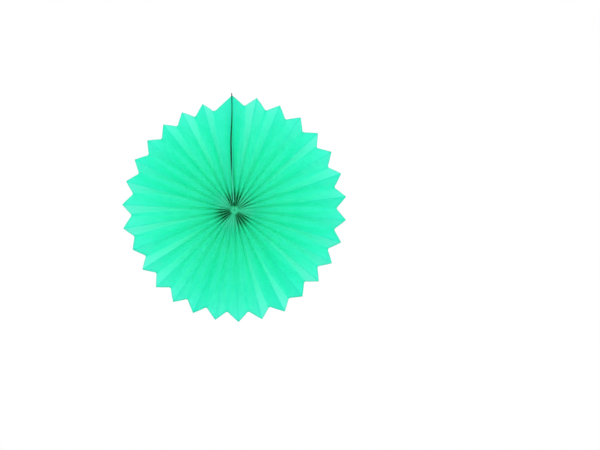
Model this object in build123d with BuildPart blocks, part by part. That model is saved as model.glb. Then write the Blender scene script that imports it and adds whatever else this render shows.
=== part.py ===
from build123d import *
from math import cos, degrees, hypot, pi, radians, sin, sqrt
import os

# Paper fan rosette: one pleated sheet opened to a full circle, its two ends stuck together at the top.
# The disc stands upright and faces -Y. The origin is the centre of the back of the hub.

# The pleated sheet: its depth from back folds to front folds is given at the rim
rim_depth = 15.0
paper = 0.1
fold_flat = 0.12
eye_packing = 0.6

# The rim, cut to a point at each back fold and to a notch at each front fold
tip_radius = 202.0
tip_fall = 5.5
tooth_depth = 14.5
rim_shift_x = 1.9
rim_shift_z = 0.5

# Where the pleats change their rhythm: pleat number, and angle clockwise from the top in degrees
gathers = [(0.0, -1.6), (5.0, 59.5), (12.5, 148.5), (21.5, 255.0), (29.5, 349.0), (30.0, 358.4)]
run_starts = [0.0, 12.5, 21.5, 30.0]
swell_per_pleat = 0.1

# Back folds that the front folds beside them lean away from, and how strongly; the lean is in degrees
lean_folds = [(0, 1.0), (5, 0.5), (12, 1.0), (21, 1.0), (30, 1.0)]
hub_lean = 1.2
rim_lean = 0.5

# The seam at the top: two flaps, each backed with a stiff card, stuck together along their back edges
card_thickness = 0.4
card_overhang = 4.5
card_start = 0.06
tape_thickness = 0.3
tape_width = 7.0
eye_gap = 0.2
bow_left = 5.8
bow_right = 3.4
bow_full = 0.34
bow_fall = 0.55
bond_length = 16.0

# The thread that runs through all panels near the eye
tie_inset = 3.5
tie_thickness = 0.5
tie_clearance = 0.1

# Stations along each fold, as shares of the way from the eye to the rim
bond_start = 1 - bond_length / tip_radius
stations = [0.0, card_start, 0.13, 0.24, 0.4, bow_fall, 0.66, 0.76, 0.85, bond_start, 1.0]

pleats = int(gathers[-1][0])
seam_angle = gathers[0][1]
eye_radius = pleats * paper / (pi * eye_packing)
bond_gap = 2 * card_thickness + tape_thickness


def panel_spread(radius):
    """Width that one panel covers in plan at a radius."""
    return 2 * radius * sin(radians(90 / pleats))


panel_width = hypot(panel_spread(tip_radius), rim_depth)
mid_y = -(panel_width + paper) / 2


def section_of(pleat):
    """The two gathers that a pleat number lies between, and its share of the way from one to the other."""
    for start, end in zip(gathers, gathers[1:]):
        if pleat <= end[0]:
            break
    return start, end, (pleat - start[0]) / (end[0] - start[0])


def rim_angle(pleat):
    """Angle of a fold's outer end: even between two gathers, with a slight swell midway."""
    start, end, share = section_of(pleat)
    swell = swell_per_pleat * (end[0] - start[0]) * sin(pi * share)
    return start[1] + (end[1] - start[1]) * share + swell


def lean_of(pleat, share):
    """Degrees by which a front fold leans away from the nearest lean fold: none midway between two."""
    for start, end in zip(lean_folds, lean_folds[1:]):
        if pleat <= end[0]:
            break
    along = 2 * (pleat - start[0]) / (end[0] - start[0])
    strength = start[1] * max(0.0, 1 - along) - end[1] * max(0.0, along - 1)
    return strength * (hub_lean + (rim_lean - hub_lean) * share**3)


def rim_radius(pleat, is_ridge):
    """Outer end of a fold: the points fall slowly along each run of pleats, the notches with them."""
    for start, end in zip(run_starts, run_starts[1:]):
        if pleat <= end:
            break
    point = tip_radius - tip_fall * (pleat - start) / (end - start)
    return point - tooth_depth if is_ridge else point


def seam_gap(share):
    """Width between the two end flaps at their feet: the cards and the tape fill it, but for the eye."""
    return eye_gap + (bond_gap - eye_gap) * min(1.0, share / card_start)


def seam_bow(reach):
    """How far the flaps' front edges bow sideways: not at the eye, and not near the rim.

    The reach is a share of the shorter flap, so that both flaps bow alike at any radius.
    """
    rise = sin(pi / 2 * min(1.0, reach / bow_full))
    fall = cos(pi / 2 * min(1.0, max(0.0, reach - bow_fall) / (bond_start - bow_fall)))
    return rise * fall**2


def fold_frame(pleat, share, is_ridge):
    """Place of a fold in plan, its clockwise direction, and its half depth at one station."""
    radius = eye_radius + (rim_radius(pleat, is_ridge) - eye_radius) * share
    seam_room = degrees((seam_gap(share) + paper + fold_flat) / 2 / radius)
    turned = (rim_angle(pleat) - seam_angle) * (1 - seam_room / 180)
    lean = lean_of(pleat, share) if is_ridge else 0.0
    angle = radians(seam_angle + seam_room + turned + lean)
    across = Vector(cos(angle), 0, -sin(angle))
    middle = Vector(rim_shift_x * share, mid_y, rim_shift_z * share)
    place = middle + Vector(sin(angle), 0, cos(angle)) * radius
    half_depth = Vector(0, sqrt(panel_width**2 - panel_spread(radius) ** 2) / 2, 0)
    return place, across, half_depth


def flap_nodes(pleat, share):
    """Centre line of an end flap at one station: front edge, bend and foot, with their clockwise direction."""
    place, across, half_depth = fold_frame(pleat, share, is_ridge=False)
    side, bow = (-1, bow_right) if pleat == 0 else (1, bow_left)
    foot = place + half_depth + across * (side * fold_flat / 2)
    bend = foot - Vector(0, tape_width, 0)
    reach = share * rim_radius(pleat, is_ridge=False) / rim_radius(pleats, is_ridge=False)
    front = foot - half_depth * 2 - across * (bow * seam_bow(reach))
    return [(front, across), (bend, across), (foot, across)]


def sheet_nodes(share):
    """Centre line of the paper at one station, clockwise from the first flap to the last."""
    nodes = flap_nodes(0, share)[:2]
    for half in range(2 * pleats + 1):
        is_ridge = half % 2 == 1
        place, across, half_depth = fold_frame(half / 2, share, is_ridge)
        level = place - half_depth if is_ridge else place + half_depth
        nodes += [(level + across * (side * fold_flat / 2), across) for side in (-1, 1)]
    return nodes + flap_nodes(pleats, share)[1::-1]


def face_normal(start, end, across):
    """Unit direction off the front of the strip between two points, as its clockwise and its Y share."""
    step = end - start
    along, deep = step.dot(across), step.Y
    return deep / hypot(along, deep), -along / hypot(along, deep)


def offset_row(nodes, distance):
    """The centre line at one station moved off its front by a distance, mitred at each fold."""
    row = []
    for index, (point, across) in enumerate(nodes):
        normals = []
        if index > 0:
            normals.append(face_normal(nodes[index - 1][0], point, across))
        if index < len(nodes) - 1:
            normals.append(face_normal(point, nodes[index + 1][0], across))
        first, last = normals[0], normals[-1]
        stretch = distance / (1 + first[0] * last[0] + first[1] * last[1])
        sideways = across * (stretch * (first[0] + last[0]))
        row.append(point + sideways + Vector(0, stretch * (first[1] + last[1]), 0))
    return row


def strip(first_row, second_row, outward=True):
    """Flat triangles between two rows of points, facing outward or turned over.

    A twisted panel is creased from the front of its inner end to the back of its outer end.
    """
    triangles = []
    for a, b, c, d in zip(first_row, first_row[1:], second_row, second_row[1:]):
        triangles += [(a, b, d), (a, d, c)] if a.Y < b.Y else [(a, b, c), (b, d, c)]
    return triangles if outward else [corners[::-1] for corners in triangles]


def solid_between(near, far):
    """Closed solid between two skins, each given as one row of points for every station."""
    facets = []
    for rows in (near, far):
        for inner, outer in zip(rows, rows[1:]):
            facets += strip(inner, outer, outward=rows is near)
    facets += strip(near[0], far[0], outward=False)
    facets += strip(near[-1], far[-1])
    for end, outward in ((0, True), (-1, False)):
        facets += strip([row[end] for row in near], [row[end] for row in far], outward)
    return Solid(Shell([Face(Wire.make_polygon(corners)) for corners in facets]))


def past_rim(rows):
    """The rows of an end card with one more, which stands past the paper's point."""
    ahead = [(last - before).normalized() for before, last in zip(rows[-2], rows[-1])]
    return rows + [[point + step * card_overhang for point, step in zip(rows[-1], ahead)]]


card_stations = [share for share in stations if share >= card_start]
right_flap = [flap_nodes(0, share) for share in card_stations]
left_flap = [flap_nodes(pleats, share)[::-1] for share in card_stations]
glued, free = -paper / 2, -paper / 2 - card_thickness
right_free = [offset_row(nodes, free) for nodes in right_flap]
left_free = [offset_row(nodes, free) for nodes in left_flap]

middle_plane = Plane.XZ.offset(-mid_y)
tie_radius = eye_radius + tie_inset
hole_size = tie_thickness + 2 * tie_clearance

with BuildPart() as pleated_sheet:
    add(
        solid_between(
            [offset_row(sheet_nodes(share), paper / 2) for share in stations],
            [offset_row(sheet_nodes(share), -paper / 2) for share in stations],
        )
    )
    with BuildSketch(middle_plane):
        Circle(tie_radius + hole_size / 2)
        Circle(tie_radius - hole_size / 2, mode=Mode.SUBTRACT)
    extrude(amount=hole_size / 2, both=True, mode=Mode.SUBTRACT)

with BuildPart() as end_card_right:
    add(solid_between(past_rim([offset_row(nodes, glued) for nodes in right_flap]), past_rim(right_free)))

with BuildPart() as end_card_left:
    add(solid_between(past_rim([offset_row(nodes, glued) for nodes in left_flap]), past_rim(left_free)))

with BuildPart() as seam_tape:
    add(solid_between([row[1:] for row in right_free], [row[1::-1] for row in left_free]))

with BuildPart() as centre_tie:
    with BuildSketch(Plane.XY):
        with Locations((tie_radius, mid_y)):
            RegularPolygon(tie_thickness / 2, side_count=6)
    revolve(axis=Axis.Y)

os.makedirs("parts", exist_ok=True)
for name, piece in {
    "pleated_sheet": pleated_sheet,
    "end_card_right": end_card_right,
    "end_card_left": end_card_left,
    "seam_tape": seam_tape,
    "centre_tie": centre_tie,
}.items():
    piece.part.label = name
    export_step(piece.part, f"parts/{name}.step")
    print(name, len(piece.part.solids()), "valid", piece.part.is_valid, "volume", round(piece.part.volume, 1))
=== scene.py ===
"""Paper fan rosette: the looks of the pleated paper disc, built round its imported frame."""

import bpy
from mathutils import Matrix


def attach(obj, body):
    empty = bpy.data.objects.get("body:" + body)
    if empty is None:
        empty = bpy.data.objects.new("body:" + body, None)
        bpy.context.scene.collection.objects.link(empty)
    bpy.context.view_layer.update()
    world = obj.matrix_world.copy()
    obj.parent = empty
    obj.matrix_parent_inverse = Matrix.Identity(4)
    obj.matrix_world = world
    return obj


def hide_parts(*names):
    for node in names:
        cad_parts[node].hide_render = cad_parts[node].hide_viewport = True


bl_info = {
    "name": "Paper Fan Rosette",
    "version": (1, 0, 0),
    "blender": (4, 5, 0),
    "location": "3D View > Sidebar > Rosette",
    "description": "Builds a pleated paper fan rosette with its end cards, tape and thread",
    "category": "Add Mesh",
}

from math import cos, hypot, pi, radians, sin

import bpy
import numpy as np
from bpy.props import FloatProperty, FloatVectorProperty, IntProperty, PointerProperty
from mathutils import Vector, noise

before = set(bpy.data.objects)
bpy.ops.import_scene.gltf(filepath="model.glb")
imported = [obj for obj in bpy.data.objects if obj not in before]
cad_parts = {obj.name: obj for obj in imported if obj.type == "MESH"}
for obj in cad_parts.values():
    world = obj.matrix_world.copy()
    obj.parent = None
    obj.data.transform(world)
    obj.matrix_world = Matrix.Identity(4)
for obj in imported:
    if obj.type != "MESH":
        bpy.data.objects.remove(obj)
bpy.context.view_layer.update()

PHOTO_WIDE, PHOTO_HIGH = 600, 450

# Where the pleats change their rhythm: pleat number, and angle clockwise from the top in degrees
GATHERS = [(0.0, -1.6), (5.0, 59.0), (12.5, 148.0), (21.5, 254.4), (29.5, 348.8), (30.0, 358.4)]
PLEATS = int(GATHERS[-1][0])
SEAM_ANGLE = GATHERS[0][1]

# Pleat numbers at which a run starts, with the highest point of the rim in that run
RUN_STARTS = [0.0, 12.4, 21.4, 29.6, 42.0]

# Back folds that the front folds beside them lean away from, and how strongly
LEAN_FOLDS = [(0, 1.0), (5, 0.5), (12, 1.0), (21, 1.0), (30, 1.0)]

# Near the hub the grooves stay open this many pleats each side of a lean fold, then shut over so many more
OPEN_PLEATS = 1.8
OPEN_FADE = 1.4

# Shares of a panel's width at which it has a column of points, closer together beside its folds
ACROSS = [0.0, 0.012, 0.035, 0.075, 0.14, 0.26, 0.42, 0.58, 0.72, 0.83, 0.91, 0.96, 0.985]

# How closely the rows of points crowd towards the eye: 1 spaces them evenly
EYE_CROWDING = 1.5

# Share of a fold over which the skew of the eye's back dies away
SKEW_FADE = 0.04

# The shut ring round the eye ends at this many times its radius
RING_FADE = 1.5

# How late a flap's bow sets in past the tape: 1 starts it at once
FLAP_CURL = 1.4

# Least share of a fold between the start of the cards and their next row of points
CARD_STEP = 0.01

# What seeds the chances of single pleats, and how far apart those of two neighbours are
STRAY_SEED = 4.6
TONE_SEED = 8.2
CHANCE_STEP = 1.7
CHANCE_LEVEL = 0.3

# Crinkles in the paper: waves to the metre and seeds, share of the fine ones, and the radius they calm in
SOFT_WAVES, SOFT_SEED = 45.0, Vector((3.1, 7.7, 1.3))
FINE_WAVES, FINE_SEED = 160.0, Vector((11.0, 2.0, 5.0))
FINE_SHARE = 0.35
CALM_RADIUS = 0.06

# How pale the panels are, painted light but for the chance share, which the paper has at random: how much
# each cause adds, and the shares of a fold between which it comes or goes
LEAN_ENDS = (0.28, 0.6)
RIM_PAINTED_LIGHT, RIM_ENDS = 0.2, (0.7, 1.0)
HUB_PAINTED_LIGHT, HUB_ENDS = 0.4, (0.3, 0.6)
CHANCE_PALENESS = 0.25
FOLD_SHADE = 0.1

# Painted shade near the hub, darkest in the dark pockets: radii between which it ends, and how strong it is
# where the grooves are shut
PAINTED_SHADE_ENDS = (0.012, 0.045)
PAINTED_SHADE_LEAST = 0.6

# The thread: steps round the ring and round the thread, strands, turns of the twist, and the strands' relief
THREAD_STEPS, THREAD_SIDES = 240, 18
STRANDS, TWISTS = 3, 40
STRAND_RELIEF = 0.15

# Heights between which the cards turn from painted light, in the paper's colour near the hub, to their own
# colour
PAINTED_HUB_LIGHT_ENDS = (0.045, 0.09)

# Distances from the rim between which the paper turns from its cut edge's colour to its own
CUT_EDGE_ENDS = (0.0004, 0.0013)

# The floor is a disc
FLOOR_RADIUS = 1.3
FLOOR_SIDES = 96

# Power of the lamp that fills the front lamp's shadows, as a share of the front lamp's
FILL_SHARE = 0.6


class RosetteSizes(bpy.types.PropertyGroup):
    """Sizes of the folded sheet"""

    tip_radius: FloatProperty(
        name="Tip Radius",
        description="From the hub to a point of the rim",
        default=0.2012,
        unit="LENGTH",
    )
    tip_fall: FloatProperty(
        name="Tip Fall",
        description="How much the points drop along each run of pleats",
        default=0.0068,
        unit="LENGTH",
    )
    tooth_depth: FloatProperty(
        name="Tooth Depth",
        description="From a point of the rim to the notch beside it",
        default=0.0175,
        unit="LENGTH",
    )
    rim_depth: FloatProperty(
        name="Rim Depth",
        description="Depth of the pleats at the rim",
        default=0.015,
        unit="LENGTH",
    )
    rim_shift: FloatVectorProperty(
        name="Rim Shift",
        description="How far the rim lies off the hub, across and up",
        size=2,
        default=(0.0008, 0.0012),
        unit="LENGTH",
    )
    eye_radius: FloatProperty(
        name="Eye Radius",
        description="Radius of the small eye in the hub",
        default=0.0012,
        unit="LENGTH",
    )
    paper: FloatProperty(
        name="Paper",
        description="Thickness of the paper",
        default=0.0001,
        unit="LENGTH",
    )
    swell: FloatProperty(
        name="Swell",
        description="Degrees for each pleat by which a run swells midway",
        default=0.1,
    )
    hub_lean: FloatProperty(
        name="Hub Lean",
        description="Degrees by which the front folds lean near the hub",
        default=1.2,
    )
    rim_lean: FloatProperty(
        name="Rim Lean",
        description="Degrees by which the front folds lean at the rim",
        default=0.5,
    )
    stray: FloatProperty(
        name="Stray",
        description="Degrees by which single front folds stray midway to the rim",
        default=1.4,
    )
    eye_skew: FloatVectorProperty(
        name="Eye Skew",
        description="How far the back of the eye lies off its front, across and up",
        size=2,
        default=(0.0019, -0.0014),
        unit="LENGTH",
    )
    ring_radius: FloatProperty(
        name="Ring Radius",
        description="Radius of the shut ring round the eye",
        default=0.006,
        unit="LENGTH",
    )
    shut_front: FloatProperty(
        name="Shut Front",
        description="Half width of a rounded front fold where the pleats are shut, in pleats",
        default=0.48,
    )
    open_front: FloatProperty(
        name="Open Front",
        description="Half width of a front fold in the dark pockets of the hub, in pleats",
        default=0.1,
    )
    soft_front: FloatProperty(
        name="Soft Front",
        description="Half width of a front fold midway to the rim, in pleats",
        default=0.3,
    )
    crisp_front: FloatProperty(
        name="Crisp Front",
        description="Half width of a front fold at the rim, in pleats",
        default=0.04,
    )
    shut_end: FloatVectorProperty(
        name="Shut End",
        description="Radii between which the shut pleats open",
        size=2,
        default=(0.018, 0.055),
        unit="LENGTH",
    )
    shut_reach: FloatProperty(
        name="Shut Reach",
        description="How much further out the shut pleats stay shut",
        default=0.02,
        unit="LENGTH",
    )
    soft_end: FloatVectorProperty(
        name="Soft End",
        description="Radii between which the soft folds turn crisp",
        size=2,
        default=(0.08, 0.19),
        unit="LENGTH",
    )
    front_flat: FloatProperty(
        name="Front Flatness",
        description="Depth of a front fold's rounding: 1 meets the panel smoothly, less is flatter",
        default=0.8,
    )
    shut_flat: FloatProperty(
        name="Shut Flatness",
        description="The same where the pleats are shut",
        default=0.2,
    )
    bulge: FloatProperty(
        name="Bulge",
        description="How far a panel bellies out between its folds",
        default=0.0006,
        unit="LENGTH",
    )
    crinkle: FloatProperty(
        name="Crinkle",
        description="Height of the crinkles in the paper",
        default=0.00035,
        unit="LENGTH",
    )
    along: IntProperty(
        name="Rows",
        description="Rows of faces from the eye to the rim",
        default=58,
        min=8,
    )


class SeamSizes(bpy.types.PropertyGroup):
    """Sizes of the seam where the two ends of the sheet meet"""

    card: FloatProperty(
        name="Card",
        description="Thickness of an end card",
        default=0.0006,
        unit="LENGTH",
    )
    overhang: FloatProperty(
        name="Overhang",
        description="How far the cards stand past the point",
        default=0.0038,
        unit="LENGTH",
    )
    card_start: FloatProperty(
        name="Card Start",
        description="Share of the fold at which the cards start",
        default=0.06,
    )
    tape: FloatProperty(
        name="Tape",
        description="Thickness of the tape",
        default=0.0003,
        unit="LENGTH",
    )
    tape_width: FloatProperty(
        name="Tape Width",
        description="Width of the tape",
        default=0.007,
        unit="LENGTH",
    )
    eye_gap: FloatProperty(
        name="Eye Gap",
        description="Gap between the ends at the eye",
        default=0.0002,
        unit="LENGTH",
    )
    bow_left: FloatProperty(
        name="Left Bow",
        description="How far the left end bows out",
        default=0.0038,
        unit="LENGTH",
    )
    bow_right: FloatProperty(
        name="Right Bow",
        description="How far the right end bows out",
        default=0.0026,
        unit="LENGTH",
    )
    bow_full: FloatProperty(
        name="Bow Full",
        description="Share of the fold at which the bow is full",
        default=0.34,
    )
    bow_fall: FloatProperty(
        name="Bow Fall",
        description="Share of the fold past which the bow falls",
        default=0.55,
    )
    gape_start: FloatVectorProperty(
        name="Gape Start",
        description="Shares of the fold between which the slit opens",
        size=2,
        default=(0.2, 0.42),
    )
    bond_length: FloatProperty(
        name="Bond Length",
        description="Length at the rim along which the ends lie flat",
        default=0.016,
        unit="LENGTH",
    )
    tie_inset: FloatProperty(
        name="Thread Inset",
        description="From the eye to the thread",
        default=0.0039,
        unit="LENGTH",
    )
    tie: FloatProperty(
        name="Thread",
        description="Thickness of the thread",
        default=0.0005,
        unit="LENGTH",
    )


class PaperFinish(bpy.types.PropertyGroup):
    """Colours and finish of the tissue paper"""

    colour: FloatVectorProperty(
        name="Colour",
        description="Colour of the paper",
        subtype="COLOR",
        size=3,
        default=(0.09, 0.95, 0.65),
    )
    # Painted light: besides the paper's random fibres, this colour paints the lit panels paler
    pale: FloatVectorProperty(
        name="Pale Fibres",
        description="Colour of the paler fibres and panels",
        subtype="COLOR",
        size=3,
        default=(0.2, 1.0, 0.82),
    )
    cut: FloatVectorProperty(
        name="Cut Edge",
        description="Colour of the cut edge",
        subtype="COLOR",
        size=3,
        default=(0.11, 0.65, 0.46),
    )
    through: FloatVectorProperty(
        name="Light Through",
        description="Colour of the light that comes through",
        subtype="COLOR",
        size=3,
        default=(0.17, 0.965, 0.8),
    )
    # Painted light: the light through the lit panels is painted paler too
    pale_through_and_painted_light: FloatVectorProperty(
        name="Pale Light Through",
        description="Colour of the light that comes through the paler panels",
        subtype="COLOR",
        size=3,
        default=(0.37, 1.0, 0.87),
    )
    # Painted shade: this darker colour near the hub stands in for the shade deep in the pockets
    painted_shade: FloatVectorProperty(
        name="Glue Soaked",
        description="Colour of the paper that the glue near the hub has soaked",
        subtype="COLOR",
        size=3,
        default=(0.05, 0.71, 0.33),
    )
    see_through: FloatProperty(
        name="See Through",
        description="Share of the light that comes through",
        default=0.86,
        subtype="FACTOR",
    )
    # Painted shade: less light comes through where the painted shade lies, which darkens the pockets further
    painted_shade_through_loss: FloatProperty(
        name="Dense Loss",
        description="Share of that light lost where glue soaks the paper near the hub",
        default=0.95,
        subtype="FACTOR",
    )


class SeamFinish(bpy.types.PropertyGroup):
    """Colours of the end cards, the tape and the thread"""

    # Partly painted shade: the cards' own grey edges made near black for the shade at the slit's end
    card: FloatVectorProperty(
        name="Card Edge",
        description="Colour of the cards' cut edges",
        subtype="COLOR",
        size=3,
        default=(0.004, 0.014, 0.01),
    )
    card_pale: FloatVectorProperty(
        name="Card Edge Fibres",
        description="Colour of the paler fibres in the cards' cut edges",
        subtype="COLOR",
        size=3,
        default=(0.01, 0.026, 0.02),
    )
    # Painted shade: the cards' faces inside the slit, and their fibres, are painted dark green for the shade
    # in the slit
    inside: FloatVectorProperty(
        name="Card Inside",
        description="Colour of the cards' faces inside the slit",
        subtype="COLOR",
        size=3,
        default=(0.008, 0.13, 0.07),
    )
    inside_pale: FloatVectorProperty(
        name="Card Inside Fibres",
        description="Colour of the paler fibres in those faces",
        subtype="COLOR",
        size=3,
        default=(0.015, 0.17, 0.09),
    )
    # Painted light: near the hub the cards take this colour for the light from the paper that fills the slit
    painted_hub_light: FloatVectorProperty(
        name="Card Near Hub",
        description="Colour of the cards near the hub, where light from the paper fills the slit",
        subtype="COLOR",
        size=3,
        default=(0.07, 0.85, 0.52),
    )
    liner: FloatVectorProperty(
        name="Card Liner",
        description="Colour of the cards' faces against the paper",
        subtype="COLOR",
        size=3,
        default=(0.78, 0.8, 0.78),
    )
    liner_pale: FloatVectorProperty(
        name="Card Liner Fibres",
        description="Colour of the paler fibres in the liner",
        subtype="COLOR",
        size=3,
        default=(0.86, 0.87, 0.85),
    )
    tape: FloatVectorProperty(
        name="Tape",
        description="Colour of the tape",
        subtype="COLOR",
        size=3,
        default=(0.6, 0.62, 0.55),
    )
    tape_pale: FloatVectorProperty(
        name="Tape Clouds",
        description="Colour of the paler clouds in the tape",
        subtype="COLOR",
        size=3,
        default=(0.7, 0.72, 0.66),
    )
    thread: FloatVectorProperty(
        name="Thread",
        description="Colour of the thread",
        subtype="COLOR",
        size=3,
        default=(0.7, 0.72, 0.68),
    )
    thread_pale: FloatVectorProperty(
        name="Thread Fibres",
        description="Colour of the paler fibres in the thread",
        subtype="COLOR",
        size=3,
        default=(0.8, 0.82, 0.78),
    )


class StudioLook(bpy.types.PropertyGroup):
    """Floor, light and camera"""

    floor_drop: FloatProperty(
        name="Floor",
        description="Height of the floor",
        default=-0.6,
        unit="LENGTH",
    )
    floor: FloatVectorProperty(
        name="Floor Colour",
        description="Colour of the floor",
        subtype="COLOR",
        size=3,
        default=(0.82, 0.82, 0.82),
    )
    floor_pale: FloatVectorProperty(
        name="Floor Clouds",
        description="Colour of the paler clouds in the floor",
        subtype="COLOR",
        size=3,
        default=(0.86, 0.86, 0.86),
    )
    ambient: FloatProperty(
        name="Ambient",
        description="Strength of the soft light from all round",
        default=0.7,
    )
    ring: FloatProperty(
        name="Ring",
        description="Strength of the soft light from the sides",
        default=0.2,
    )
    front: FloatProperty(
        name="Front",
        description="Power of the front lamp",
        default=10.0,
        unit="POWER",
    )
    side: FloatProperty(
        name="Side",
        description="Power of each side lamp",
        default=4.0,
        unit="POWER",
    )
    back: FloatProperty(
        name="Back",
        description="Power of each back lamp",
        default=2.0,
        unit="POWER",
    )
    distance: FloatProperty(
        name="Distance",
        description="From the camera to the rosette",
        default=4.0,
        unit="LENGTH",
    )
    scale: FloatProperty(
        name="Scale",
        description="Length that one pixel covers",
        default=0.00177,
        unit="LENGTH",
    )
    hub_px: FloatVectorProperty(
        name="Hub Pixel",
        description="Where the hub is in the picture, across and down",
        size=2,
        default=(234.75, 210.1),
    )


def smooth_step(value):
    """Share that rises smoothly from 0 to 1 as the value does, and stays there past either."""
    value = np.clip(value, 0.0, 1.0)
    return value * value * (3 - 2 * value)


def rise(value, ends):
    """Share that rises smoothly from 0 to 1 between two ends."""
    return smooth_step((value - ends[0]) / (ends[1] - ends[0]))


def fall(value, ends):
    """Share that falls smoothly from 1 to 0 between two ends."""
    return 1 - rise(value, ends)


def chance(pleat, seed):
    """Seeded number between about -1 and 1 for a pleat."""
    return 2 * noise.noise(Vector((pleat * CHANCE_STEP, seed, CHANCE_LEVEL)))


def stations(sizes):
    """Shares of the way from the eye to the rim, closer together at the eye."""
    return np.linspace(0.0, 1.0, sizes.along + 1) ** EYE_CROWDING


def section_of(pleat):
    """The two gathers that a pleat number lies between, and its share of the way."""
    for start, end in zip(GATHERS, GATHERS[1:]):
        if pleat <= end[0]:
            break
    return start, end, (pleat - start[0]) / (end[0] - start[0])


def rim_angle(pleat, sizes):
    """Angle of a fold's outer end, in degrees clockwise from the top."""
    start, end, share = section_of(pleat)
    return start[1] + (end[1] - start[1]) * share + sizes.swell * (end[0] - start[0]) * sin(pi * share)


def rim_radius(pleat, is_ridge, sizes):
    """Outer end of a fold: the points fall slowly along each run of pleats."""
    for start, end in zip(RUN_STARTS, RUN_STARTS[1:]):
        if pleat <= end:
            break
    point = sizes.tip_radius - sizes.tip_fall * (pleat - start) / (end - start)
    return point - sizes.tooth_depth if is_ridge else point


def panel_spread(radius):
    """Width that one panel covers in plan at a radius."""
    return 2 * radius * sin(radians(90 / PLEATS))


def panel_width(sizes):
    """Width of one panel from fold to fold."""
    return hypot(panel_spread(sizes.tip_radius), sizes.rim_depth)


def lean_of(pleat, share, sizes):
    """Degrees by which a front fold leans away from the nearest lean fold: none midway between two."""
    for start, end in zip(LEAN_FOLDS, LEAN_FOLDS[1:]):
        if pleat <= end[0]:
            break
    along = 2 * (pleat - start[0]) / (end[0] - start[0])
    strength = start[1] * max(0.0, 1 - along) - end[1] * max(0.0, along - 1)
    return strength * (sizes.hub_lean + (sizes.rim_lean - sizes.hub_lean) * share**3)


def stray_of(pleat, share, sizes):
    """Degrees by which a front fold strays by chance: most midway, and not at its ends."""
    return sizes.stray * chance(pleat, STRAY_SEED) * np.sin(pi * share) ** 2


def seam_gap(share, seam):
    """Width between the two end flaps at their feet."""
    bond = 2 * seam.card + seam.tape
    return seam.eye_gap + (bond - seam.eye_gap) * np.minimum(1.0, share / seam.card_start)


def seam_bow(pleat, share, sizes, seam):
    """How far a flap's front edge bows sideways: quickly past the eye, and not at all near the rim."""
    reach = share * rim_radius(pleat, False, sizes) / rim_radius(PLEATS, False, sizes)
    bond_start = 1 - seam.bond_length / sizes.tip_radius
    risen = np.sin(pi / 2 * np.clip(reach / seam.bow_full, 0.0, 1.0))
    fallen = np.cos(pi / 2 * np.clip((reach - seam.bow_fall) / (bond_start - seam.bow_fall), 0.0, 1.0))
    return risen * fallen**2


def fold_frame(pleat, share, is_ridge, sizes, seam):
    """Places of a fold in plan, its clockwise directions and its half depths, one row for each station."""
    radius = sizes.eye_radius + (rim_radius(pleat, is_ridge, sizes) - sizes.eye_radius) * share
    seam_room = np.degrees((seam_gap(share, seam) + sizes.paper) / 2 / radius)
    turned = (rim_angle(pleat, sizes) - SEAM_ANGLE) * (1 - seam_room / 180)
    lean = lean_of(pleat, share, sizes) + stray_of(pleat, share, sizes) if is_ridge else 0.0
    angle = np.radians(SEAM_ANGLE + seam_room + turned + lean)
    level = np.zeros_like(angle)
    across = np.stack([np.cos(angle), level, -np.sin(angle)], axis=1)
    outward = np.stack([np.sin(angle), level, np.cos(angle)], axis=1)
    width = panel_width(sizes)
    middle = np.full_like(share, -(width + sizes.paper) / 2)
    shift = np.stack([sizes.rim_shift[0] * share, middle, sizes.rim_shift[1] * share], axis=1)
    half_depth = np.sqrt(width**2 - panel_spread(radius) ** 2) / 2
    return shift + outward * radius[:, None], across, half_depth


def skewed(points, share, part, sizes):
    """Points at the back of the sheet moved aside near the eye. The part is 1 there and 0 at the front."""
    skew = np.exp(-share / SKEW_FADE)
    points[:, 0] += sizes.eye_skew[0] * skew * part
    points[:, 2] += sizes.eye_skew[1] * skew * part
    return points


def fold_line(half, share, sizes, seam):
    """Points of one fold from the eye to the rim. Odd numbers are front folds, even ones back folds."""
    is_ridge = half % 2 == 1
    place, _, half_depth = fold_frame(half / 2, share, is_ridge, sizes, seam)
    if is_ridge:
        place[:, 1] -= half_depth
        return place
    place[:, 1] += half_depth
    return skewed(place, share, 1, sizes)


def crinkled(points, normals, height, part):
    """Points moved along their normals by soft seeded crinkles, which calm at the folds and near the eye."""
    off_fold = (4 * part * (1 - part)) ** 0.5
    off_eye = np.minimum(1.0, np.linalg.norm(points[:, [0, 2]], axis=1) / CALM_RADIUS) ** 2
    waves = []
    for point in points:
        place = Vector(point)
        soft = noise.noise(place * SOFT_WAVES + SOFT_SEED)
        fine = noise.noise(place * FINE_WAVES + FINE_SEED)
        waves.append(soft + FINE_SHARE * fine)
    return points + normals * (np.array(waves) * height * off_fold * off_eye)[:, None]


def openness(pleat):
    """How open the grooves beside a pleat are near the hub: 1 at a lean fold, 0 well away from all."""
    open_most = 0.0
    for fold, strength in LEAN_FOLDS:
        shut = float(smooth_step((abs(pleat - fold) - OPEN_PLEATS * strength) / OPEN_FADE))
        open_most = max(open_most, strength * (1 - shut))
    return open_most


def ring_share(radius, sizes):
    """Share of the shut ring's form that the paper has at a radius."""
    return fall(radius, (sizes.ring_radius, RING_FADE * sizes.ring_radius))


def shut_share(pleat, radius, sizes):
    """Share of the hub's own form that a pleat keeps at a radius: further out for the shut pleats."""
    start, end = sizes.shut_end
    return fall(radius, (start, end + sizes.shut_reach * (1 - openness(pleat))))


def front_width(pleat, pitch, radius, sizes):
    """Half width of a front fold: shut in the ring, open in the pockets, soft midway, crisp at the rim."""
    width = sizes.crisp_front + (sizes.soft_front - sizes.crisp_front) * fall(radius, sizes.soft_end)
    at_hub = sizes.shut_front + (sizes.open_front - sizes.shut_front) * openness(pleat)
    width = width + (at_hub - width) * shut_share(pleat, radius, sizes)
    return pitch * (width + (sizes.shut_front - width) * ring_share(radius, sizes))


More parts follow.
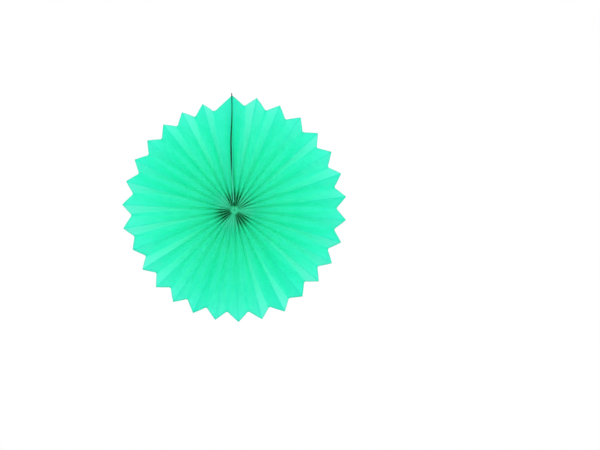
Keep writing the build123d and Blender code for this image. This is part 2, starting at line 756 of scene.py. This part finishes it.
def rounding(ridge, below, deep, pitch, radius, sizes):
    """How far a panel stands off its straight line at a depth below its front fold, which is a parabola."""
    width = front_width(ridge, pitch, radius, sizes)
    slope = 2 * deep / pitch
    shut = np.maximum((1 - openness(ridge)) * shut_share(ridge, radius, sizes), ring_share(radius, sizes))
    flat = sizes.front_flat + (sizes.shut_flat - sizes.front_flat) * shut
    turn_depth = flat * slope * width / 2
    in_fold = width * np.sqrt(np.minimum(1.0, below / turn_depth)) - below / slope
    past_fold = (width - turn_depth / slope) * (deep - below) / (deep - turn_depth)
    return np.where(below < turn_depth, in_fold, past_fold)


def flap_surface(pleat, share, sizes, seam):
    """Columns of points over an end flap, from its foot to its front edge, and its clockwise directions."""
    place, across, half_depth = fold_frame(pleat, share, False, sizes, seam)
    place[:, 1] += half_depth
    bow = seam.bow_right
    if pleat > 0:
        bow = bow + (seam.bow_left - seam.bow_right) * rise(share, seam.gape_start)
    bow = bow * seam_bow(pleat, share, sizes, seam)
    held = seam.tape_width / panel_width(sizes)
    columns = []
    for part in [*ACROSS, 1.0]:
        bent = (max(0.0, part - held) / (1 - held)) ** FLAP_CURL
        column = place - across * (bow * bent)[:, None]
        column[:, 1] -= 2 * half_depth * part
        columns.append(skewed(column, share, 1 - part, sizes))
    return columns, across


def panel_columns(half, start, end, share, sizes, seam):
    """Columns of points over the panel between two folds, with its belly, crinkles and round front fold."""
    rising = half % 2 == 0
    ridge = (half + 1 if rising else half) / 2
    _, across, half_depth = fold_frame(ridge, share, True, sizes, seam)
    step = end - start
    normal = np.cross(np.gradient(start, axis=0), step)
    normal /= np.linalg.norm(normal, axis=1)[:, None]
    pitch = np.linalg.norm(step[:, [0, 2]], axis=1) * 2
    radius = np.linalg.norm(start[:, [0, 2]], axis=1)
    columns = []
    for part in ACROSS:
        below = 2 * half_depth * (1 - part if rising else part)
        belly = (sizes.bulge * 4 * part * (1 - part) * pitch / pitch[-1])[:, None]
        column = crinkled(start + step * part + normal * belly, normal, sizes.crinkle, part)
        wider = rounding(ridge, below, 2 * half_depth, pitch, radius, sizes)
        columns.append(column + across * (wider * (-1 if rising else 1))[:, None])
    return columns


def panel_painted_light(pleat, share, sizes):
    """How pale a panel is, as painted light: most on the far side of a front fold from a lean fold, near the
    rim and near the hub, with a chance share that the paper has at random.
    """
    ridge = int(pleat) + 0.5
    strength = lean_of(ridge, 0.0, sizes) / sizes.hub_lean
    away = max(0.0, strength if pleat > ridge else -strength) + CHANCE_PALENESS * chance(pleat, TONE_SEED)
    painted_rim_light = RIM_PAINTED_LIGHT * rise(share, RIM_ENDS)
    painted_hub_light = HUB_PAINTED_LIGHT * fall(share, HUB_ENDS)
    return away * rise(share, LEAN_ENDS) + painted_rim_light + painted_hub_light


def painted_shade_share(pleat, share, sizes):
    """How strongly painted shade darkens the paper near the hub: most in the dark pockets, and none well
    away from the hub.
    """
    most = PAINTED_SHADE_LEAST + (1 - PAINTED_SHADE_LEAST) * openness(pleat)
    return most * fall(share * sizes.tip_radius, PAINTED_SHADE_ENDS)


def sheet_columns(share, sizes, seam):
    """Columns of points over the sheet, from one flap's front edge to the other's, with their marks."""
    right, _ = flap_surface(0, share, sizes, seam)
    left, _ = flap_surface(PLEATS, share, sizes, seam)
    plain = np.zeros_like(share)
    columns = right[:0:-1]
    painted_lights_and_tones = [plain] * len(columns)
    painted_shade = [painted_shade_share(0, share, sizes)] * len(columns)
    folds = [fold_line(half, share, sizes, seam) for half in range(2 * PLEATS + 1)]
    for half, (start, end) in enumerate(zip(folds, folds[1:])):
        columns += panel_columns(half, start, end, share, sizes, seam)
        # A panel's middle lies a quarter of a pleat past its first fold
        # Painted light on the panel, with its chance share, fading out beside its folds
        painted_light_and_tone = panel_painted_light(half / 2 + 0.25, share, sizes)
        painted_lights_and_tones += [painted_light_and_tone * smooth_step(min(part, 1 - part) / FOLD_SHADE) for part in ACROSS]
        # Painted shade near the hub
        painted_shade += [painted_shade_share(half // 2 + 0.5, share, sizes)] * len(ACROSS)
    painted_lights_and_tones += [plain] * len(left)
    painted_shade += [painted_shade_share(PLEATS, share, sizes)] * len(left)
    return columns + left, {"painted_light_and_tone": painted_lights_and_tones, "painted_shade_mark": painted_shade}


def card_stations(share, seam):
    """The stations from the start of the cards to the rim."""
    return np.concatenate([[seam.card_start], share[share > seam.card_start + CARD_STEP]])


def end_card(name, pleat, share, sizes, seam):
    """A stiff card on an end flap's inner side, standing past the paper's point."""
    columns, across = flap_surface(pleat, card_stations(share, seam), sizes, seam)
    side = -1 if pleat == 0 else 1
    moved = []
    for column in columns:
        column = column + across * (side * (sizes.paper + seam.card) / 2)
        ahead = column[-1] - column[-2]
        ahead /= np.linalg.norm(ahead)
        moved.append(np.vstack([column, column[-1] + ahead * seam.overhang]))
    card = thin_solid(name, moved, seam.card)
    # The face against the paper is slot 1, the one inside the slit slot 2, and the cut edges stay slot 0
    skin_faces = (len(moved) - 1) * (len(moved[0]) - 1)
    for face in card.data.polygons[:2 * skin_faces]:
        in_first_skin = face.index < skin_faces
        face.material_index = 1 if in_first_skin == (side == -1) else 2
    return card


def tape_strip(name, share, sizes, seam):
    """The tape between the two end cards, from their feet to its own width."""
    share = card_stations(share, seam)
    right, _ = flap_surface(0, share, sizes, seam)
    left, _ = flap_surface(PLEATS, share, sizes, seam)
    held = seam.tape_width / panel_width(sizes)
    parts = [part for part in ACROSS if part <= held]
    columns = [(start + end) / 2 for start, end, _ in zip(right, left, parts)]
    depth = columns[1] - columns[0]
    depth /= np.linalg.norm(depth, axis=1)[:, None]
    columns.append(columns[0] + depth * seam.tape_width)
    return thin_solid(name, columns, seam.tape)


def thread_ring(name, sizes, seam):
    """The thread that runs through all panels near the eye, twisted of its strands."""
    radius = sizes.eye_radius + seam.tie_inset
    middle = -(panel_width(sizes) + sizes.paper) / 2
    vertices, faces = [], []
    for step in range(THREAD_STEPS):
        turn = 2 * pi * step / THREAD_STEPS
        following = (step + 1) % THREAD_STEPS * THREAD_SIDES
        for side in range(THREAD_SIDES):
            angle = 2 * pi * side / THREAD_SIDES
            relief = STRAND_RELIEF * cos(STRANDS * angle - TWISTS * turn)
            lobe = seam.tie / 2 * (1 - STRAND_RELIEF + relief)
            reach = radius + lobe * cos(angle)
            vertices.append((reach * sin(turn), middle + lobe * sin(angle), reach * cos(turn)))
            here, beside = step * THREAD_SIDES, (side + 1) % THREAD_SIDES
            faces.append((here + side, here + beside, following + beside, following + side))
    return mesh_piece(name, vertices, faces)


def quads(a, b, c, d):
    """One face for each four vertex numbers in the same place."""
    return np.stack([corner.ravel() for corner in (a, b, c, d)], axis=1)


def thin_solid(name, columns, thickness, marks=None):
    """Closed thin mesh round a grid of points, given as columns of one length, with marks at each point."""
    grid = np.array(columns)
    normal = np.cross(np.gradient(grid, axis=1), np.gradient(grid, axis=0))
    normal /= np.maximum(np.linalg.norm(normal, axis=2), 1e-12)[:, :, None]
    wide, tall = grid.shape[:2]
    first = np.arange(wide * tall).reshape(wide, tall)
    second = first + wide * tall
    faces = []
    for skin, turned in ((first, True), (second, False)):
        side = quads(skin[:-1, :-1], skin[1:, :-1], skin[1:, 1:], skin[:-1, 1:])
        faces.append(side[:, ::-1] if turned else side)
    for row, turned in ((0, False), (-1, True)):
        side = quads(first[:-1, row], first[1:, row], second[1:, row], second[:-1, row])
        faces.append(side[:, ::-1] if turned else side)
    for column, turned in ((0, True), (-1, False)):
        side = quads(first[column, :-1], first[column, 1:], second[column, 1:], second[column, :-1])
        faces.append(side[:, ::-1] if turned else side)
    skins = [grid + normal * thickness / 2, grid - normal * thickness / 2]
    vertices = np.concatenate([skin.reshape(-1, 3) for skin in skins])
    piece = mesh_piece(name, vertices.tolist(), np.concatenate(faces).tolist())
    for mark, values in (marks or {}).items():
        attribute = piece.data.attributes.new(mark, "FLOAT", "POINT")
        attribute.data.foreach_set("value", np.tile(np.array(values).ravel(), len(skins)).astype(np.float32))
    return piece


def mesh_piece(name, vertices, faces):
    """New smooth object of a mesh."""
    mesh = bpy.data.meshes.new(name)
    mesh.from_pydata(vertices, [], faces)
    mesh.shade_smooth()
    piece = bpy.data.objects.new(name, mesh)
    bpy.context.scene.collection.objects.link(piece)
    return piece


class Nodes:
    """Short way to add and join the nodes of a material or of the world."""

    def __init__(self, owner):
        owner.use_nodes = True
        self.tree = owner.node_tree
        self.tree.nodes.clear()

    def add(self, kind, inputs=None, **settings):
        """New node with its settings, and with its inputs set or joined to other nodes' outputs."""
        node = self.tree.nodes.new(kind)
        for key, value in settings.items():
            setattr(node, key, value)
        for key, value in (inputs or {}).items():
            self.feed(node.inputs[key], value)
        return node

    def feed(self, socket, value):
        """Set an input to a value, or join it to another node's output."""
        if isinstance(value, bpy.types.NodeSocket):
            self.tree.links.new(value, socket)
        else:
            socket.default_value = value

    def mark(self, name):
        """Value of a mark that the mesh carries at its points."""
        return self.add("ShaderNodeAttribute", attribute_name=name, attribute_type="GEOMETRY").outputs["Fac"]

    def mix(self, factor, first, second):
        """Colour between two colours by a factor."""
        node = self.add("ShaderNodeMix", data_type="RGBA")
        # By their numbers, the inputs are the factor and two colours, and the output is the colour between
        for place, value in zip((0, 6, 7), (factor, first, second)):
            self.feed(node.inputs[place], value)
        return node.outputs[2]


def rgba(colour):
    """A colour with its fourth value, which makes it opaque."""
    return (*colour, 1.0)


def tissue_paper(finish):
    """Thin dyed tissue: a soft mottle of paler fibres, light that comes through and greyer cut edges, with
    painted light on the panels and painted shade near the hub.
    """
    material = bpy.data.materials.new("tissue_paper")
    n = Nodes(material)
    place = n.add("ShaderNodeTexCoord").outputs["Object"]
    cloud = n.add("ShaderNodeTexNoise", {"Vector": place, "Scale": 70.0, "Detail": 4.0, "Roughness": 0.6})
    fibre = n.add("ShaderNodeTexNoise", {"Vector": place, "Scale": 420.0, "Detail": 3.0, "Distortion": 1.5})
    mottle = n.add("ShaderNodeMapRange", {"Value": cloud.outputs["Fac"], "From Min": 0.35, "From Max": 0.75})
    # Painted light: the panels' mark paints the lit panels paler, on top of the fibres' random mottle
    mottle_and_painted_light = n.add(
        "ShaderNodeMath",
        {0: mottle.outputs["Result"], 1: 0.3, 2: n.mark("painted_light_and_tone")},
        operation="MULTIPLY_ADD",
    ).outputs[0]
    unshaded = n.mix(mottle_and_painted_light, rgba(finish.colour), rgba(finish.pale))
    # Painted shade: the paper turns darker near the hub, most in the pockets, and lets less light through
    # there
    painted_shade_mark = n.mark("painted_shade_mark")
    body = n.mix(painted_shade_mark, unshaded, rgba(finish.painted_shade))
    near, far = CUT_EDGE_ENDS
    near_edge = n.add(
        "ShaderNodeMapRange",
        {"Value": n.mark("from_edge"), "From Min": near, "From Max": far, "To Min": 1.0, "To Max": 0.0},
    )
    colour = n.mix(near_edge.outputs["Result"], body, rgba(finish.cut))
    bump = n.add("ShaderNodeBump", {"Height": fibre.outputs["Fac"], "Strength": 0.25, "Distance": 0.0002})
    face = n.add(
        "ShaderNodeBsdfPrincipled",
        {
            "Base Color": colour,
            "Roughness": 0.8,
            "Specular IOR Level": 0.05,
            "Normal": bump.outputs["Normal"],
        },
    )
    # Painted light: the light through is paler on the same panels
    glow = n.mix(mottle_and_painted_light, rgba(finish.through), rgba(finish.pale_through_and_painted_light))
    through = n.add("ShaderNodeBsdfTranslucent", {"Color": glow, "Normal": bump.outputs["Normal"]})
    shine = n.add(
        "ShaderNodeMath",
        {0: painted_shade_mark, 1: -finish.see_through * finish.painted_shade_through_loss, 2: finish.see_through},
        operation="MULTIPLY_ADD",
    )
    both = n.add("ShaderNodeMixShader", {"Fac": shine.outputs[0], 1: face.outputs[0], 2: through.outputs[0]})
    n.add("ShaderNodeOutputMaterial", {"Surface": both.outputs[0]})
    return material


def plain_finish(name, colour, pale, scale, roughness, bump_height, painted_hub_light=None):
    """Fibrous material with paler fibres and a fine bump, and with painted light in another colour near the
    hub if asked.
    """
    material = bpy.data.materials.new(name)
    n = Nodes(material)
    place = n.add("ShaderNodeTexCoord").outputs["Object"]
    grain = n.add("ShaderNodeTexNoise", {"Vector": place, "Scale": scale, "Detail": 5.0})
    body = n.mix(grain.outputs["Fac"], rgba(colour), rgba(pale))
    # Painted light near the hub, where light from the paper fills the slit
    if painted_hub_light:
        height = n.add("ShaderNodeSeparateXYZ", {0: place}).outputs["Z"]
        low, high = PAINTED_HUB_LIGHT_ENDS
        away = n.add("ShaderNodeMapRange", {"Value": height, "From Min": low, "From Max": high})
        body = n.mix(away.outputs["Result"], rgba(painted_hub_light), body)
    relief = {"Height": grain.outputs["Fac"], "Strength": 0.3, "Distance": bump_height}
    bump = n.add("ShaderNodeBump", relief)
    face = n.add(
        "ShaderNodeBsdfPrincipled",
        {"Base Color": body, "Roughness": roughness, "Normal": bump.outputs["Normal"]},
    )
    n.add("ShaderNodeOutputMaterial", {"Surface": face.outputs[0]})
    return material


def card_materials(finish):
    """The cards' grey cut edges, darkened by painted shade, their white liner and their insides, painted
    dark green for the shade in the slit, in the order of their slots.
    """
    hub = finish.painted_hub_light
    # The edges' near black and the insides' dark green are painted shade
    edge = plain_finish("grey_card", finish.card, finish.card_pale, 900.0, 0.85, 0.00005, hub)
    inside = plain_finish("painted_slit_shade_card", finish.inside, finish.inside_pale, 900.0, 0.85, 0.00005, hub)
    liner = plain_finish("white_card", finish.liner, finish.liner_pale, 900.0, 0.8, 0.00005)
    return [edge, liner, inside]


def studio_world(look):
    """World of soft light, brighter from the sides, that is plain white where it is seen."""
    world = bpy.data.worlds.new("studio")
    n = Nodes(world)
    path = n.add("ShaderNodeLightPath").outputs
    seen = path["Is Camera Ray"]
    for other in ("Is Glossy Ray", "Is Transmission Ray"):
        seen = n.add("ShaderNodeMath", {0: seen, 1: path[other]}, operation="MAXIMUM").outputs[0]
    way = n.add("ShaderNodeTexCoord").outputs["Generated"]
    fore_and_aft = n.add("ShaderNodeSeparateXYZ", {0: way}).outputs["Y"]
    off_side = n.add("ShaderNodeMath", {0: fore_and_aft}, operation="ABSOLUTE").outputs[0]
    ring = n.add(
        "ShaderNodeMapRange",
        {"Value": off_side, "From Min": 0.15, "From Max": 0.8, "To Min": look.ring, "To Max": 0.0},
    )
    total = n.add("ShaderNodeMath", {0: ring.outputs[0], 1: look.ambient}, operation="ADD")
    soft = n.add("ShaderNodeBackground", {"Color": (1, 1, 1, 1), "Strength": total.outputs[0]})
    white = n.add("ShaderNodeBackground", {"Color": (1, 1, 1, 1), "Strength": 1.0})
    both = n.add("ShaderNodeMixShader", {"Fac": seen, 1: soft.outputs[0], 2: white.outputs[0]})
    n.add("ShaderNodeOutputWorld", {"Surface": both.outputs[0]})
    return world


def floor_disc(look):
    """The pale floor, a flat disc below the rosette."""
    turns = [2 * pi * side / FLOOR_SIDES for side in range(FLOOR_SIDES)]
    rim = [(FLOOR_RADIUS * cos(turn), FLOOR_RADIUS * sin(turn), 0.0) for turn in turns]
    mesh = bpy.data.meshes.new("floor")
    mesh.from_pydata(rim, [], [list(range(FLOOR_SIDES))])
    mesh.materials.append(plain_finish("pale_floor", look.floor, look.floor_pale, 3.0, 0.7, 0.0001))
    floor = bpy.data.objects.new("floor", mesh)
    floor.location = (0, 0, look.floor_drop)
    bpy.context.scene.collection.objects.link(floor)
    return floor


def lamp_plan(look):
    """Name, place, size and power of each lamp."""
    yield "front_lamp", (-0.8, -3.0, 1.2), 1.6, look.front
    yield "front_fill", (1.2, -3.0, 0.4), 1.6, look.front * FILL_SHARE
    for index, angle in enumerate((0, 90, 180, 270)):
        turn = radians(angle)
        yield f"side_lamp_{index}", (2.0 * sin(turn), -0.6, 2.0 * cos(turn)), 1.2, look.side
    yield "back_lamp_left", (-1.6, 1.8, 0.6), 1.4, look.back
    yield "back_lamp_right", (1.6, 1.8, 0.6), 1.4, look.back


def add_lamp(name, place, size, power):
    """Square soft lamp that shines at the hub."""
    data = bpy.data.lights.new(name, "AREA")
    data.shape = "SQUARE"
    data.size = size
    data.energy = power
    lamp = bpy.data.objects.new(name, data)
    lamp.location = place
    lamp.rotation_mode = "QUATERNION"
    lamp.rotation_quaternion = (-Vector(place)).to_track_quat("-Z", "Y")
    bpy.context.scene.collection.objects.link(lamp)


def add_camera(look):
    """Camera square to the rosette, with the hub at its place in the picture."""
    data = bpy.data.cameras.new("camera")
    data.sensor_width = 36.0
    data.lens = data.sensor_width * look.distance / (PHOTO_WIDE * look.scale)
    camera = bpy.data.objects.new("camera", data)
    camera.location = (
        (PHOTO_WIDE / 2 - look.hub_px[0]) * look.scale,
        -look.distance,
        (look.hub_px[1] - PHOTO_HIGH / 2) * look.scale,
    )
    camera.rotation_euler = (pi / 2, 0, 0)
    bpy.context.scene.collection.objects.link(camera)
    bpy.context.scene.camera = camera


class ROSETTE_OT_pleated_sheet(bpy.types.Operator):
    """Build the pleated paper sheet"""

    bl_idname = "rosette.pleated_sheet"
    bl_label = "Pleated Sheet"

    def execute(self, context):
        sizes, seam = context.scene.rosette_sizes, context.scene.rosette_seam
        share = stations(sizes)
        columns, marks = sheet_columns(share, sizes, seam)
        marks["from_edge"] = [(1 - share) * (sizes.tip_radius - sizes.eye_radius)] * len(columns)
        sheet = thin_solid("paper_fan", columns, sizes.paper, marks)
        sheet.data.materials.append(tissue_paper(context.scene.rosette_paper))
        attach(sheet, "root")
        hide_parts("pleated_sheet")
        return {"FINISHED"}


class ROSETTE_OT_end_cards(bpy.types.Operator):
    """Build the two stiff cards on the ends of the sheet"""

    bl_idname = "rosette.end_cards"
    bl_label = "End Cards"

    def execute(self, context):
        sizes, seam = context.scene.rosette_sizes, context.scene.rosette_seam
        materials = card_materials(context.scene.rosette_seam_finish)
        ends = (("card_left", PLEATS, "end_card_left"), ("card_right", 0, "end_card_right"))
        for name, pleat, node in ends:
            card = end_card(name, pleat, stations(sizes), sizes, seam)
            for material in materials:
                card.data.materials.append(material)
            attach(card, "root")
            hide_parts(node)
        return {"FINISHED"}


class ROSETTE_OT_seam_tape(bpy.types.Operator):
    """Build the tape between the two end cards"""

    bl_idname = "rosette.seam_tape"
    bl_label = "Seam Tape"

    def execute(self, context):
        sizes, seam = context.scene.rosette_sizes, context.scene.rosette_seam
        finish = context.scene.rosette_seam_finish
        tape = tape_strip("tape", stations(sizes), sizes, seam)
        material = plain_finish("double_sided_tape", finish.tape, finish.tape_pale, 300.0, 0.4, 0.00002)
        tape.data.materials.append(material)
        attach(tape, "root")
        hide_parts("seam_tape")
        return {"FINISHED"}


class ROSETTE_OT_hub_thread(bpy.types.Operator):
    """Build the thread that gathers the pleats round the eye"""

    bl_idname = "rosette.hub_thread"
    bl_label = "Hub Thread"

    def execute(self, context):
        finish = context.scene.rosette_seam_finish
        thread = thread_ring("hub_thread", context.scene.rosette_sizes, context.scene.rosette_seam)
        material = plain_finish("thread", finish.thread, finish.thread_pale, 2500.0, 0.9, 0.00005)
        thread.data.materials.append(material)
        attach(thread, "root")
        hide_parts("centre_tie")
        return {"FINISHED"}


class ROSETTE_OT_studio(bpy.types.Operator):
    """Set up the floor, the soft light and the camera"""

    bl_idname = "rosette.studio"
    bl_label = "Studio"

    def execute(self, context):
        look = context.scene.rosette_studio
        context.scene.view_settings.view_transform = "Standard"
        context.scene.world = studio_world(look)
        floor_disc(look)
        for lamp in lamp_plan(look):
            add_lamp(*lamp)
        add_camera(look)
        return {"FINISHED"}


class ROSETTE_PT_panel(bpy.types.Panel):
    """Lists the steps that build the rosette"""

    bl_idname = "ROSETTE_PT_panel"
    bl_label = "Paper Fan Rosette"
    bl_space_type = "VIEW_3D"
    bl_region_type = "UI"
    bl_category = "Rosette"

    def draw(self, context):
        for step in STEPS:
            self.layout.operator(step.bl_idname)


SETTINGS = {
    "rosette_sizes": RosetteSizes,
    "rosette_seam": SeamSizes,
    "rosette_paper": PaperFinish,
    "rosette_seam_finish": SeamFinish,
    "rosette_studio": StudioLook,
}
STEPS = [
    ROSETTE_OT_pleated_sheet,
    ROSETTE_OT_end_cards,
    ROSETTE_OT_seam_tape,
    ROSETTE_OT_hub_thread,
    ROSETTE_OT_studio,
]


def register():
    """Register the settings, the steps and their panel."""
    for group in SETTINGS.values():
        bpy.utils.register_class(group)
    for step in [*STEPS, ROSETTE_PT_panel]:
        bpy.utils.register_class(step)
    for name, group in SETTINGS.items():
        setattr(bpy.types.Scene, name, PointerProperty(type=group))


def unregister():
    """Take back all that register adds, last things first."""
    for name in SETTINGS:
        delattr(bpy.types.Scene, name)
    for step in [ROSETTE_PT_panel, *reversed(STEPS)]:
        bpy.utils.unregister_class(step)
    for group in reversed(SETTINGS.values()):
        bpy.utils.unregister_class(group)


def main():
    """Build the rosette and its studio."""
    register()
    bpy.ops.rosette.pleated_sheet()
    bpy.ops.rosette.end_cards()
    bpy.ops.rosette.seam_tape()
    bpy.ops.rosette.hub_thread()
    bpy.ops.rosette.studio()


if __name__ == "__main__":
    main()
